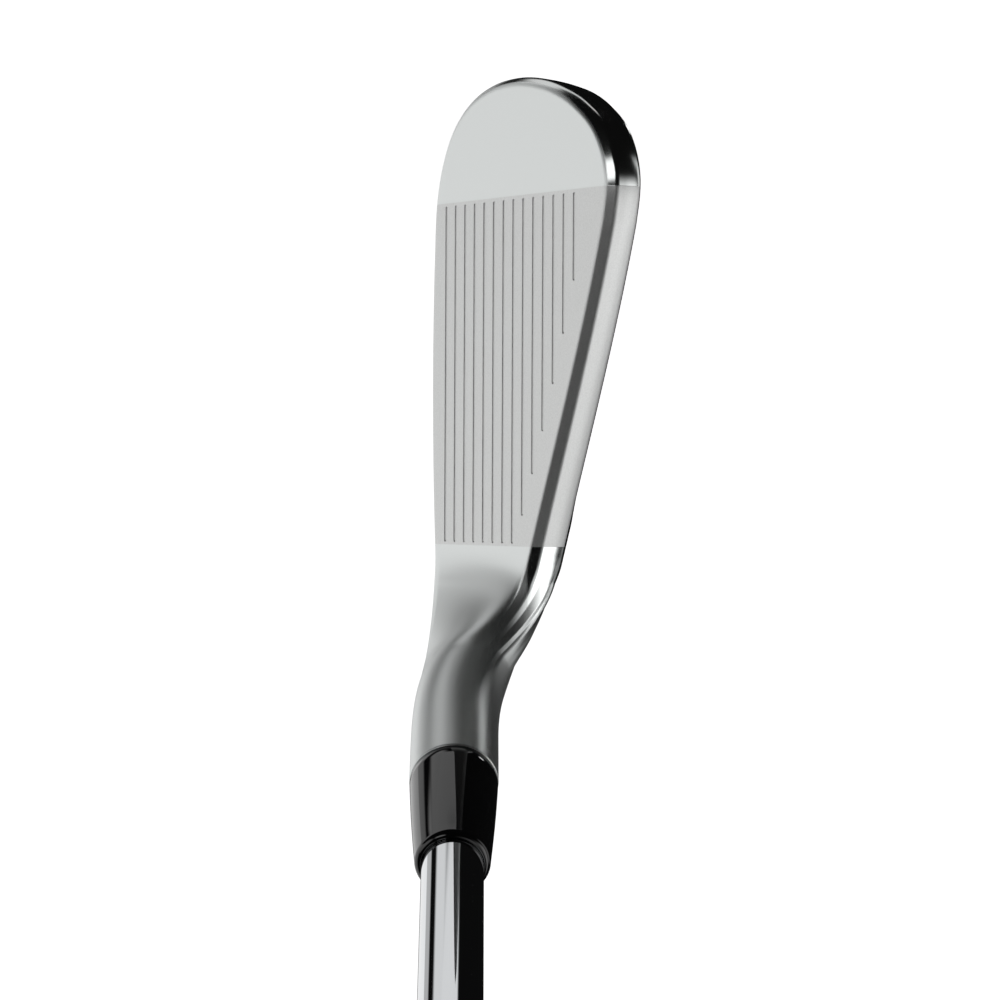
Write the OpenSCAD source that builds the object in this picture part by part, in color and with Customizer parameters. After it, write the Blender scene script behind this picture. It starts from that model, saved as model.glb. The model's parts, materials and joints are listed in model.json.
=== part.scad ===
// Iron golf club, standing at address on the ground plane Z = 0.
// X runs along the scorelines, toe at -X and heel at +X. The face looks to -Y and up.
// The origin is the ground contact under the middle of the scorelines.
// The club is right-handed, and its pieces are bonded, so nothing moves.

/* [Club] */
// Loft of the face from the vertical, degrees
loft = 32; // [16:1:60]
// Lie of the shaft from the ground, degrees
lie = 62.5; // [58:0.5:66]
// Club length along the shaft axis, from the ground to the butt, mm
club_length = 940; // [850:5:1020]
// X of the point where the shaft axis meets the ground, mm
axis_x = 32.84; // [28:0.1:38]
// Y of the shaft axis, mm
axis_y = -4.04; // [-8:0.1:0]

/* [Head] */
// Y of the lowest scoreline, mm
face_y = -6; // [-10:0.1:0]
// Height of the lowest scoreline over the ground, mm
face_z = 7.3; // [5:0.1:10]
// Number of scorelines
line_count = 14; // [8:1:16]
// Distance between scorelines up the face, mm
line_pitch = 2.897; // [2.5:0.001:4]
// Length of a full scoreline, mm
line_length = 54.56; // [40:0.1:60]
// Width of a scoreline, mm
line_width = 0.7; // [0.5:0.05:0.9]
// Depth of a scoreline, mm
line_depth = 0.3; // [0.2:0.05:0.5]
// Thickness of the face plate in front of the cavity, mm
plate = 4.5; // [2.5:0.1:5]
// Width across the topline, from the face plane back, mm
topline = 6.1; // [4:0.1:9]

/* [Hosel and ferrule] */
// Outside radius of the hosel, mm
hosel_r = 6.705; // [6:0.005:7.5]
// Distance along the axis from the ground to the hosel's rim, mm
hosel_end = 64.37; // [55:0.1:75]
// Radius of the hosel's bore, mm
hosel_bore_r = 4.65; // [4.4:0.01:5]
// Depth of the hosel's bore, mm
hosel_bore_depth = 33; // [25:0.5:40]
// Distance along the axis from the ground to the ferrule's small end, mm
ferrule_end = 86.8; // [75:0.1:95]
// Radius of the ferrule just under its rounded end, mm
ferrule_r = 5.56; // [5:0.01:6.5]

/* [Shaft and grip] */
// Radius of the shaft at its tip, mm
tip_r = 4.55; // [4.3:0.01:5]
// Radius of the shaft at its butt, mm
butt_r = 7.62; // [7:0.01:8]
// Number of steps in the shaft
step_count = 13; // [8:1:20]
// Distance between steps, mm
step_pitch = 38; // [25:1:50]
// Length of the grip with its cap, mm
grip_length = 267; // [240:1:280]
// Radius of the vent hole in the grip's cap, mm
vent_r = 2; // [1:0.1:3]

/* [Hidden] */

shaft_dir = [cos(lie), 0, sin(lie)];
ground_point = [axis_x, axis_y, 0];
bore_floor = hosel_end - hosel_bore_depth;
butt_end = club_length - 3.5;
grip_mouth = club_length - grip_length;
first_step = bore_floor + 229;
step_drop = (butt_r - tip_r) / step_count;

// Station layout of the head
pivot_x = -22;
heel_x = 33.6;
fan_z = 39;
fan_r = 11;
crotch_x = 30;
neck_end = 52;
fan_span = 19.3;
fan_steps = 14;
tube_steps = 6;
blade_x = [-22, -14, -6, 2, 10, 15, 19, 20.5, 22, 23.5, 25, 26.5, 28];

// ---- small helpers -------------------------------------------------------

function clamp01(u) = min(1, max(0, u));
function ease(u) = clamp01(u) * clamp01(u) * (3 - 2 * clamp01(u));
function mix(a, b, k) = a * (1 - k) + b * k;

// Catmull-Rom value through evenly spaced control values, u in steps from the second value
function spline(list, u) =
    let (i = min(len(list) - 4, max(0, floor(u))), k = u - i)
    let (p = list[i], q = list[i + 1], r = list[i + 2], s = list[i + 3])
    q + 0.5 * k * (r - p + k * (2 * p - 5 * q + 4 * r - s + k * (3 * (q - r) + s - p)));

// Places a point given along X, up the face (t) and into the head (d)
function face_point(x, t, d) =
    [x, face_y + t * sin(loft) + d * cos(loft), face_z + t * cos(loft) - d * sin(loft)];

// ---- outline of the blade, seen square to the face -----------------------

// Upper edge from the toe's shoulder to the heel
function top_edge(x) = 38.58 - 0.4037 * x - 0.00119 * x * x + 0.000024 * x * x * x;
// Leading edge, gently bowed from heel to toe
function low_edge(x) = -4.7 + 0.0012 * x * x;
// Middle of the blade, about which sections are drawn
function spine(x) = 19 - 0.145 * (x - pivot_x);
// Radii of the toe about its pivot, every 15 degrees from up to down
toe_radii = [26.3, 27.63, 29.5, 29.2, 27.4, 25.9, 24.9, 24.6, 24.8, 25.1, 24.9, 24.1, 23.4,
    23.15, 24.2];
function toe_radius(a) = spline(toe_radii, a / 15);

// ---- half sections -------------------------------------------------------

// A half section runs from the face out over the edge and back to the rear.
// Each corner is [inset from the edge, depth behind the face, rounding].
top_corners = [[1.4, 0, 0.4], [0, 1.4, 0.4], [-0.15, 3.8, 1.4], [0.25, topline, 1.1],
    [3.2, topline + 0.1, 0.6], [4.2, plate, 1.2]];
toe_corners = [[1.1, 0, 0.8], [0, 1.1, 0.8], [0.3, 4.6, 1.8], [1.2, 8.4, 1.2],
    [5.4, 8.8, 0.6], [6.8, plate, 1.4]];
sole_corners = [[0, 0, 1.45], [-1.46, 2.57, 1.45], [1.52, 9.06, 4.5], [9, 16.9, 1.6],
    [17.5, 11, 1], [19, plate, 1.5]];
heel_top_corners = [[1.4, 0, 0.4], [0, 1.4, 0.4], [-0.15, 3.8, 1.4], [0.25, topline + 0.1, 1.1],
    [3.2, 7.4, 0.8], [5, 8.3, 0.8]];
heel_sole_corners = [[0, 0, 1.45], [-1.46, 2.57, 1.45], [1.2, 8, 3.5], [6.2, 13.6, 2.5],
    [9, 12.4, 1], [11, 11.6, 1]];
rear_at_heel = 10;

// How far the cavity has given way to the solid heel
function heel_share(x) = ease((x - 19) / 6);
function rear_depth(x) = mix(plate, rear_at_heel, heel_share(x));

function corners_at_top(x) = mix(top_corners, heel_top_corners, heel_share(x));
function corners_at_sole(x) = mix(sole_corners, heel_sole_corners, heel_share(x));
function corners_at_toe(a) = a < 90
    ? mix(top_corners, toe_corners, ease(a / 90))
    : mix(toe_corners, sole_corners, ease((a - 90) / 65));

// Rounds the corner q between p and r, with tangents of length reach
function rounded(p, q, r, reach, n) =
    let (a = norm(p - q), b = norm(r - q), cut = min(reach, 0.48 * a, 0.48 * b))
    let (s = q + (p - q) * cut / a, e = q + (r - q) * cut / b)
    [for (i = [0:n - 1]) let (k = i / (n - 1))
        s * (1 - k) * (1 - k) + q * 2 * k * (1 - k) + e * k * k];

face_cuts = 5;
arc_cuts = 4;
// The half section as [distance from the spine, depth] points
function half_section(edge, corners, rear) =
    let (c = [for (q = corners) [edge - q[0], q[1]]], last = len(c) - 1)
    let (first = rounded([0, 0], c[0], c[1], corners[0][2], arc_cuts))
    let (inner = rounded(c[last - 1], c[last], [0, rear], corners[last][2], arc_cuts))
    concat(
        [for (i = [0:face_cuts - 1]) first[0] * i / face_cuts],
        first,
        [for (j = [1:last - 1])
            for (q = rounded(c[j - 1], c[j], c[j + 1], corners[j][2], arc_cuts)) q],
        inner,
        [mix(inner[arc_cuts - 1], [0, rear], 0.5), [0, rear]]);
half_count = face_cuts + arc_cuts * 6 + 2;

// Both halves of the blade's section at x, as one loop of [x, y, z] points
function blade_half(x, up) =
    let (t = spine(x), edge = up > 0 ? top_edge(x) - t : t - low_edge(x))
    [for (q = half_section(edge, up > 0 ? corners_at_top(x) : corners_at_sole(x), rear_depth(x)))
        face_point(x, t + up * q[0], q[1])];

function toe_half(a) =
    [for (q = half_section(toe_radius(a), corners_at_toe(a), plate))
        face_point(pivot_x - q[0] * sin(a), spine(pivot_x) + q[0] * cos(a), q[1])];

// ---- neck ----------------------------------------------------------------

// Stations towards the hosel: planes across X, then planes that fan about a point above the
// crotch, then planes square to the shaft axis. Each is [x, fan angle, distance up the axis].
fan_base = (heel_x - axis_x) * cos(lie) + fan_z * sin(lie);
fan_to_axis = norm([heel_x - axis_x - fan_base * cos(lie), fan_z - fan_base * sin(lie)]);
neck_stations = concat(
    [for (x = [29:0.92:heel_x]) [x, 0, 0]],
    [for (i = [1:fan_steps]) [heel_x, lie * i / fan_steps, 0]],
    [for (i = [1:tube_steps]) [heel_x, lie, (neck_end - fan_base) * i / tube_steps]],
    [[heel_x, lie, hosel_end - fan_base]]);

function path_of(st) = st[0] + fan_span * st[1] / lie + st[2];
function soft_min(a, b, k) =
    let (h = max(k - abs(a - b), 0) / k) min(a, b) - h * h * k / 4;

// Reach below the fan point: the heel rounds from the sole up into the hosel
function low_reach(st, z_low) = soft_min((fan_z - z_low) / cos(st[1]),
    (fan_to_axis + hosel_r + (heel_x - st[0]) * sin(lie)) / cos(lie - st[1]), 20);
// Reach of the upper side: the topline, then the fillet in the crotch
function high_reach(st, z_high) =
    let (run = heel_x - st[0], fillet = run < fan_r ? sqrt(fan_r * fan_r - run * run) : 0)
    st[0] < crotch_x ? fan_z - z_high
        : mix(fillet, fan_to_axis - hosel_r, ease(st[1] / lie));

// Angles round the hosel, from its front to its rear, to which each half section's points go
function spread(a, b, n) = [for (i = [0:n - 1]) a + (b - a) * i / (n - 1)];
function goals(middle, face, marks) = concat(spread(middle, face, face_cuts),
    [for (m = marks) for (q = spread(m[0], m[1], arc_cuts)) q], [171, 180]);
up_angles = goals(36, 86, [[98, 103], [105, 110], [114, 124], [130, 139], [143, 151], [154, 164]]);
low_angles = goals(-36, 4, [[14, 28], [32, 52], [66, 100], [108, 131], [135, 147], [150, 162]]);

// Share of the hosel's own shape along the neck, at its front and at its rear
function lead(u, skew) = ease(clamp01(u) * (1 + skew * (1 - clamp01(u))));
function front_share(p) = lead((p - 28) / 48.6, 0.87);
function rear_share(p) = lead((p - 30.5) / 39, 0.43);

// One point of a neck section, from its place in the blade's section there
function neck_point(q, z_low, z_high, angle, up, st) =
    let (p = path_of(st), front = pow(0.5 + 0.5 * cos(angle), 2.5))
    let (k = mix(rear_share(p), front_share(p), front), k_up = ease((p - 28) / 21.5))
    let (natural = (q[2] - z_low) / (z_high - z_low))
    let (share = mix(natural, 0.5 + 0.5 * up * sin(angle), k_up))
    let (reach = mix(low_reach(st, z_low), high_reach(st, z_high), share))
    [st[0] + reach * sin(st[1]) + st[2] * cos(lie),
        mix(q[1], axis_y - hosel_r * cos(angle), k),
        fan_z - reach * cos(st[1]) + st[2] * sin(lie)];

function neck_loop(st) =
    let (high = blade_half(st[0], 1), low = blade_half(st[0], -1))
    let (z_high = max([for (q = high) q[2]]), z_low = min([for (q = low) q[2]]))
    [[for (i = [0:half_count - 1]) neck_point(high[i], z_low, z_high, up_angles[i], 1, st)],
        [for (i = [0:half_count - 1]) neck_point(low[i], z_low, z_high, low_angles[i], -1, st)]];

// ---- the pieces ----------------------------------------------------------

module along_shaft(s) {
    translate(ground_point + s * shaft_dir) rotate([0, 90 - lie, 0]) children();
}

// The blade, heel, neck and hosel as one closed surface
module head_form() {
    n = half_count;
    ring = 2 * n - 2;
    necks = [for (st = neck_stations) neck_loop(st)];
    loops = concat(
        [for (i = [len(necks) - 1:-1:0]) necks[i]],
        [for (i = [len(blade_x) - 1:-1:0]) [blade_half(blade_x[i], 1), blade_half(blade_x[i], -1)]]);
    toe_rows = 29;
    toe_step = 180 / (toe_rows + 1);
    last = (len(loops) - 1) * ring;
    toe_base = len(loops) * ring;
    points = concat(
        [for (l = loops) for (i = [0:ring - 1]) i < n ? l[0][i] : l[1][ring - i]],
        [for (k = [1:toe_rows]) let (row = toe_half(k * toe_step)) for (i = [1:n - 2]) row[i]]);
    function toe_id(k, i) = i == 0 ? last : i == n - 1 ? last + n - 1 : k == 0 ? last + i
        : k == toe_rows + 1 ? last + ring - i : toe_base + (k - 1) * (n - 2) + i - 1;
    sides = [for (r = [0:len(loops) - 2]) for (i = [0:ring - 1])
        let (a = r * ring + i, b = r * ring + (i + 1) % ring)
        for (f = [[a, a + ring, b], [b, a + ring, b + ring]]) f];
    toe = [for (k = [0:toe_rows]) for (i = [0:n - 2])
        let (a = toe_id(k, i), b = toe_id(k, i + 1), c = toe_id(k + 1, i), d = toe_id(k + 1, i + 1))
        for (f = i == 0 ? [[b, a, d]] : i == n - 2 ? [[a, c, b]] : [[a, c, b], [b, c, d]]) f];
    polyhedron(points, concat([[for (i = [0:ring - 1]) i]], sides, toe));
}

// How far each scoreline reaches towards the heel: the upper ones stop short of the topline
line_ends = [22.84, 16.29, 9.55, 2.24, -5.46, -13.6];

module scorelines() {
    for (k = [0:line_count - 1]) {
        end = k < 8 ? line_length / 2 : line_ends[min(k - 8, 5)];
        translate(face_point(-line_length / 2, k * line_pitch - line_width / 2, -1))
            rotate([-loft, 0, 0])
                cube([end + line_length / 2, line_depth + 1, line_width]);
    }
}

module clubhead() color([0.74, 0.75, 0.76]) difference() {
    head_form();
    along_shaft(bore_floor) rotate_extrude($fn = 96)
        polygon([[0, -2.6], [hosel_bore_r, 0], [hosel_bore_r, 60], [0, 60]]);
    scorelines();
}

// Outline of the badge on the cavity's floor, as [x, distance up the face]
badge_gap = 2.4;
badge_heel_x = 16.5;
badge_outline = concat(
    [for (x = [badge_heel_x, 10, 3, -4, -11, -18])
        [x, top_edge(x) - top_corners[5][0] - badge_gap]],
    [for (a = [0:7.5:180])
        let (r = toe_radius(a) - corners_at_toe(a)[5][0] - badge_gap)
        [pivot_x - r * sin(a), spine(pivot_x) + r * cos(a)]],
    [for (x = [-18, -11, -4, 3, 10, badge_heel_x])
        [x, low_edge(x) + sole_corners[5][0] + badge_gap]]);

// A plate lying against the cavity's floor, from one depth behind the face to another
module cavity_plate(near, far, inset) {
    middle = [-12, 24];
    flat = [for (q = badge_outline)
        q + (middle - q) / norm(middle - q) * inset];
    translate(face_point(0, 0, far)) rotate([90 - loft, 0, 0])
        linear_extrude(far - near) polygon(flat);
}

module badge_tape() color([0.12, 0.12, 0.13]) cavity_plate(plate, plate + 0.5, 0.6);

module cavity_badge() color([0.3, 0.31, 0.33]) union() {
    cavity_plate(plate + 0.5, plate + 1.6, 0);
    cavity_plate(plate + 1.6, plate + 2.1, 2.2);
}

module hosel_epoxy() color([0.82, 0.76, 0.55]) along_shaft(bore_floor + 0.2) difference() {
    cylinder(r = hosel_bore_r - 0.01, h = hosel_bore_depth - 0.4, $fn = 96);
    translate([0, 0, -1]) cylinder(r = tip_r + 0.01, h = hosel_bore_depth + 2, $fn = 96);
}

tip_inner_r = 3.95;
butt_wall = 0.4;
plug_length = 14;
module tip_plug() color([0.78, 0.62, 0.3]) along_shaft(bore_floor + 0.6)
    rotate_extrude($fn = 96) polygon([[0, 0], [tip_inner_r - 0.5, 0], [tip_inner_r - 0.02, 0.5],
        [tip_inner_r - 0.02, plug_length - 3], [tip_inner_r - 0.8, plug_length], [0, plug_length]]);

// Radius of the stepped shaft at a distance s along the axis
function steps_below(s) = min(step_count, max(0, floor((s - first_step) / step_pitch) + 1));
function shaft_r(s) = tip_r + step_drop * steps_below(s);
// Steps between two distances, as [radius, distance] corners
step_ramp = 1.5;
function step_corners(from, to, extra) = [for (k = [0:step_count - 1])
    let (s = first_step + k * step_pitch) if (s > from + 1 && s < to - 3)
    for (q = [[tip_r + step_drop * k + extra, s - step_ramp / 2],
        [tip_r + step_drop * (k + 1) + extra, s + step_ramp / 2]]) q];

module shaft() color([0.76, 0.77, 0.78]) along_shaft(0) rotate_extrude($fn = 96) polygon(concat(
    [[tip_inner_r, bore_floor + 0.3], [tip_r - 0.4, bore_floor + 0.3], [tip_r, bore_floor + 0.8]],
    step_corners(bore_floor, butt_end, 0),
    [[butt_r, butt_end], [butt_r - butt_wall, butt_end],
        [butt_r - butt_wall, first_step + step_count * step_pitch], [tip_inner_r, first_step]]));

band_start = first_step + 8 * step_pitch + 3;
band_length = step_pitch - 6;
module shaft_band() color([0.18, 0.19, 0.22]) along_shaft(band_start) difference() {
    cylinder(r = shaft_r(band_start) + 0.13, h = band_length, $fn = 96);
    translate([0, 0, -1]) cylinder(r = shaft_r(band_start) + 0.01, h = band_length + 2, $fn = 96);
}

// Tapered collar from the hosel's rim down to the shaft, rounded at its small end
module ferrule() color([0.03, 0.03, 0.035]) along_shaft(0) rotate_extrude($fn = 96) polygon(concat(
    [[tip_r + 0.01, hosel_end], [hosel_r - 0.02, hosel_end]],
    [for (k = [0:6]) [ferrule_r - 0.82 * (1 - cos(15 * k)), ferrule_end - 1.1 + 1.1 * sin(15 * k)]],
    [[tip_r + 0.01, ferrule_end - 0.15]]));

grip_skin = 0.17;
cap_height = 9;
sleeve_end = club_length - cap_height;
module grip_tape() color([0.85, 0.82, 0.7]) along_shaft(0) rotate_extrude($fn = 96) polygon(concat(
    [[shaft_r(grip_mouth + 2) + 0.01, grip_mouth + 2], [shaft_r(grip_mouth + 2) + 0.15, grip_mouth + 2]],
    step_corners(grip_mouth + 2, butt_end, 0.15),
    [[butt_r + 0.15, butt_end - 0.5], [butt_r + 0.01, butt_end - 0.5]],
    [for (i = [len(step_corners(grip_mouth + 2, butt_end, 0)) - 1:-1:0])
        step_corners(grip_mouth + 2, butt_end, 0.01)[i]]));

// Outside radius of the grip, u from its mouth to its cap
grip_mouth_r = 8.7;
grip_cap_r = 13.2;
function grip_r(u) = mix(grip_mouth_r, grip_cap_r, 0.85 * u + 0.15 * u * u);

// The sleeve carries rings of shallow grooves in three zones
groove_zones = [[0.16, 0.38], [0.46, 0.68], [0.76, 0.93]];
module grip_sleeve() color([0.07, 0.07, 0.075]) {
    length = sleeve_end - grip_mouth;
    inner = step_corners(grip_mouth, butt_end, grip_skin);
    along_shaft(0) rotate_extrude($fn = 96) polygon(concat(
        [[shaft_r(grip_mouth) + grip_skin, grip_mouth], [grip_mouth_r - 0.3, grip_mouth],
            [grip_mouth_r + 0.3, grip_mouth + 0.6], [grip_mouth_r + 0.3, grip_mouth + 5],
            [grip_r(0.03), grip_mouth + 6.5]],
        [for (z = groove_zones) for (k = [0:7]) let (u = mix(z[0], z[1], k / 7), s = grip_mouth + u * length)
            for (q = [[grip_r(u), s - 0.7], [grip_r(u) - 0.45, s - 0.45], [grip_r(u) - 0.45, s + 0.45],
                [grip_r(u), s + 0.7]]) q],
        [[grip_r(0.97), sleeve_end - 7], [grip_cap_r + 0.2, sleeve_end], [butt_r + grip_skin, sleeve_end]],
        [for (i = [len(inner) - 1:-1:0]) inner[i]]));
}

module grip_cap() color([0.09, 0.09, 0.095]) along_shaft(sleeve_end) difference() {
    rotate_extrude($fn = 96) polygon(concat(
        [[0, cap_height - 3.5], [butt_r + grip_skin, cap_height - 3.5], [butt_r + grip_skin, 0.02],
            [grip_cap_r + 0.2, 0.02]],
        [for (k = [0:6]) [grip_cap_r - 2.4 + 2.6 * cos(15 * k), cap_height - 2.6 + 2.6 * sin(15 * k)]],
        [[0, cap_height]]));
    translate([0, 0, cap_height - 6]) cylinder(r = vent_r, h = 10, $fn = 96);
}

clubhead();
badge_tape();
cavity_badge();
hosel_epoxy();
tip_plug();
ferrule();
shaft();
shaft_band();
grip_tape();
grip_sleeve();
grip_cap();
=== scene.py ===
"""Visual model of the iron golf club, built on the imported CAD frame.

Sizes are in millimetres until a mesh is made. +X runs along the scorelines towards the heel,
+Z is up, and the face looks to -Y and up. Everything is one rigid body, "root".
"""

import json
import math

import bmesh
import bpy
import numpy as np
from mathutils import Euler, Matrix, Vector
from mathutils.geometry import delaunay_2d_cdt


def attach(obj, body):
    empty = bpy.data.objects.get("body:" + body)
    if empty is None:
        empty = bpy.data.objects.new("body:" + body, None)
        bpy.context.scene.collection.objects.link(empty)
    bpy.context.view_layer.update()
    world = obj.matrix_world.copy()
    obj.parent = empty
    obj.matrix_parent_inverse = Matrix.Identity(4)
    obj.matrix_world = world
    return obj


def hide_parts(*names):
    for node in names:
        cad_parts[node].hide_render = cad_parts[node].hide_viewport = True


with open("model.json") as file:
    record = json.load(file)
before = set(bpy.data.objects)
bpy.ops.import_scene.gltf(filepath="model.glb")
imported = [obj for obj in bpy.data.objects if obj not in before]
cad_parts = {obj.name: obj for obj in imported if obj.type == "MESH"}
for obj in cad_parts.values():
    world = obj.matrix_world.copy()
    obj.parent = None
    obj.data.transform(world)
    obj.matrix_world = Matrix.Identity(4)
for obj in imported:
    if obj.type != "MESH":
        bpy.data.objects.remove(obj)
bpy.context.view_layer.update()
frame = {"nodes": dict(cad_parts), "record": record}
mounts = {m["name"]: m for m in frame["record"]["mounts"]}

# ---- lines and planes of the club, from the record ------------------------

MM = 0.001
LINES, LINE_PITCH = 14, 2.897
ALONG = np.array([1.0, 0.0, 0.0])
BACK = np.array([0.0, 1.0, 0.0])

# The face: its normal, the direction up it, and its origin on the lowest scoreline. The mount
# sits at the middle of all the scorelines.
FACE_NORMAL = np.array(mounts["strike_face"]["axis"], float)
UP_FACE = np.array([0.0, FACE_NORMAL[2], -FACE_NORMAL[1]])
INTO_HEAD = -FACE_NORMAL
FACE_MIDDLE = np.array(mounts["strike_face"]["pos_m"], float) / MM
FACE_ORIGIN = FACE_MIDDLE - (LINES - 1) / 2 * LINE_PITCH * UP_FACE

# The shaft axis: its direction, the point where it meets the ground, and its angle there.
# Distances along the shaft start from that point.
AXIS = np.array(mounts["grip_vent"]["axis"], float)
VENT = np.array(mounts["grip_vent"]["pos_m"], float) / MM
VENT_R = float(mounts["grip_vent"]["dims"]["r_mm"])
GROUND_POINT = VENT - AXIS * (VENT[2] / AXIS[2])
LIE = math.atan2(AXIS[2], AXIS[0])

# ---- small helpers --------------------------------------------------------

MERGE_M = 2e-6
SLIVER_M = 1e-7


def ease(u):
    """Smooth step from 0 to 1: three u squared less two u cubed."""
    u = np.clip(u, 0.0, 1.0)
    return u * u * (3 - 2 * u)


def lead(u, skew):
    """Smooth step that runs ahead of an even one by skew in its middle."""
    u = np.clip(u, 0.0, 1.0)
    return ease(u * (1 + skew * (1 - u)))


def mix(a, b, k):
    """The value a share k of the way from a to b."""
    return a * (1 - k) + b * k


def soft_min(a, b, k):
    """The lesser of a and b, rounded off where they are within k of each other."""
    h = max(k - abs(a - b), 0) / k
    return min(a, b) - h * h * k / 4


def spline(values, u):
    """Catmull-Rom curve through evenly spaced values, u in steps from the second one."""
    i = int(min(len(values) - 4, max(0, math.floor(u))))
    k = u - i
    p, q, r, s = values[i:i + 4]
    return q + 0.5 * k * (r - p + k * (2 * p - 5 * q + 4 * r - s + k * (3 * (q - r) + s - p)))


def face_point(x, t, d):
    """Points x along the scorelines, t up the face and d into the head: the face's origin plus
    each distance times its own direction."""
    x, t, d = (np.asarray(v, float)[..., None] for v in (x, t, d))
    return FACE_ORIGIN + x * ALONG + t * UP_FACE + d * INTO_HEAD


def grid_faces(rows, cols, base, closed=False):
    """Quads of a grid of rows x cols vertices numbered from base; closed joins the last column
    to the first."""
    r, c = np.meshgrid(np.arange(rows - 1), np.arange(cols if closed else cols - 1), indexing="ij")
    here, beside = base + r * cols + c, base + r * cols + (c + 1) % cols
    return np.stack([here, here + cols, beside + cols, beside], axis=-1).reshape(-1, 4).tolist()


def make_mesh(name, verts, faces, node):
    """One smooth piece from vertices in mm and faces. Points that coincide are merged, slivers
    are dissolved and the faces point outwards. It stands for the CAD node of that name."""
    mesh = bpy.data.meshes.new(name)
    mesh.from_pydata((verts * MM).tolist(), [], faces)
    bm = bmesh.new()
    bm.from_mesh(mesh)
    bmesh.ops.remove_doubles(bm, verts=bm.verts, dist=MERGE_M)
    bmesh.ops.dissolve_degenerate(bm, edges=bm.edges, dist=SLIVER_M)
    bmesh.ops.recalc_face_normals(bm, faces=bm.faces)
    bm.to_mesh(mesh)
    bm.free()
    mesh.polygons.foreach_set("use_smooth", [True] * len(mesh.polygons))
    obj = bpy.data.objects.new(name, mesh)
    bpy.context.scene.collection.objects.link(obj)
    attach(obj, "root")
    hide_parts(node)
    return obj


def revolve(name, profile, node, turns, sunk=None):
    """A closed (radius, distance) profile turned about the shaft axis: the ground point, plus the
    distance along the axis, plus the radius along a spoke at each angle. sunk, where given, is
    how far the surface lies below the profile, as a function of (distance, angle) arrays."""
    prof = np.array(profile, float)
    n = len(prof)
    angle = np.linspace(0, 2 * math.pi, turns, endpoint=False)[:, None]
    radius, distance = prof[:, 0] + 0 * angle, prof[:, 1] + 0 * angle
    if sunk is not None:
        radius = radius - sunk(distance, angle + 0 * radius)
    spoke = np.cos(angle) * BACK + np.sin(angle) * np.cross(AXIS, BACK)
    verts = GROUND_POINT + distance[..., None] * AXIS + radius[..., None] * spoke[:, None, :]
    i, k = np.meshgrid(np.arange(turns), np.arange(n), indexing="ij")
    j, m = (i + 1) % turns, (k + 1) % n
    faces = np.stack([i * n + k, j * n + k, j * n + m, i * n + m], axis=-1).reshape(-1, 4)
    return make_mesh(name, verts.reshape(-1, 3), faces.tolist(), node)


# ---- the blade's sections -------------------------------------------------

PIVOT_X = -22.0     # the toe's half sections fan out about this place on the spine
HEEL_X = 33.6       # the section that the neck's fan starts from
FACE_END_X = 28.0   # the flat face ends here, and the neck begins
PLATE = 4.5         # thickness of the plate behind the face
TOPLINE = 6.1       # width of the topline
REAR_AT_HEEL = 10.0

# The toe's reach from its pivot, every 15 degrees from straight up the face round to straight
# down, with one value more before and after
TOE_RADII = [26.3, 27.63, 29.5, 29.2, 27.4, 25.9, 24.9, 24.6, 24.8, 25.1, 24.9, 24.1, 23.4, 23.15, 24.2]

# Corners of a half section, face to rear: inset from the edge, depth behind the face, rounding
TOP_CORNERS = np.array([[1.4, 0, 0.4], [0, 1.4, 0.4], [-0.15, 3.8, 1.4], [0.25, TOPLINE, 1.1],
                        [3.2, TOPLINE + 0.1, 0.6], [4.2, PLATE, 1.2]])
TOE_CORNERS = np.array([[1.1, 0, 0.8], [0, 1.1, 0.8], [0.3, 4.6, 1.8], [1.2, 8.4, 1.2],
                        [5.4, 8.8, 0.6], [6.8, PLATE, 1.4]])
SOLE_CORNERS = np.array([[0, 0, 1.45], [-1.46, 2.57, 1.45], [1.52, 9.06, 4.5], [9, 16.9, 1.6],
                         [17.5, 11, 1.0], [19, PLATE, 1.5]])
HEEL_TOP = np.array([[1.4, 0, 0.4], [0, 1.4, 0.4], [-0.15, 3.8, 1.4], [0.25, TOPLINE + 0.1, 1.1],
                     [3.2, 7.4, 0.8], [5, 8.3, 0.8]])
HEEL_SOLE = np.array([[0, 0, 1.45], [-1.46, 2.57, 1.45], [1.2, 8, 3.5], [6.2, 13.6, 2.5],
                      [9, 12.4, 1.0], [11, 11.6, 1.0]])
HEEL_BLEND = (19, 6)    # where the blade's corners start turning into the heel's, and for how long

ARC = 9             # points on a rounded corner
FACE_CUTS = 12      # points across the flat face in a half section
TAIL = np.array([0.25, 0.5, 0.75, 1.0])     # shares of the way across the rear


def top_edge(x):
    """Height of the topline up the face: a gentle cubic that falls towards the heel."""
    return 38.58 - 0.4037 * x - 0.00119 * x * x + 0.000024 * x ** 3


def low_edge(x):
    """Height of the leading edge up the face: a shallow parabola."""
    return -4.7 + 0.0012 * x * x


def spine(x):
    """Height of the line that the half sections start from, between the two edges."""
    return 19 - 0.145 * (x - PIVOT_X)


def rounded(p, q, r, reach):
    """Rounds corner q between p and r with a parabolic arc that takes at most 0.46 of either
    side. A support point lies 0.03 mm beyond each of its ends."""
    a, b = np.linalg.norm(p - q), np.linalg.norm(r - q)
    cut = min(reach, 0.46 * a, 0.46 * b)
    u, v = (p - q) / a, (r - q) / b
    s, e = q + u * cut, q + v * cut
    k = np.linspace(0, 1, ARC)[:, None]
    arc = s * (1 - k) ** 2 + q * 2 * k * (1 - k) + e * k * k
    return np.vstack([s + u * 0.03, arc, e + v * 0.03])


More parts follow.
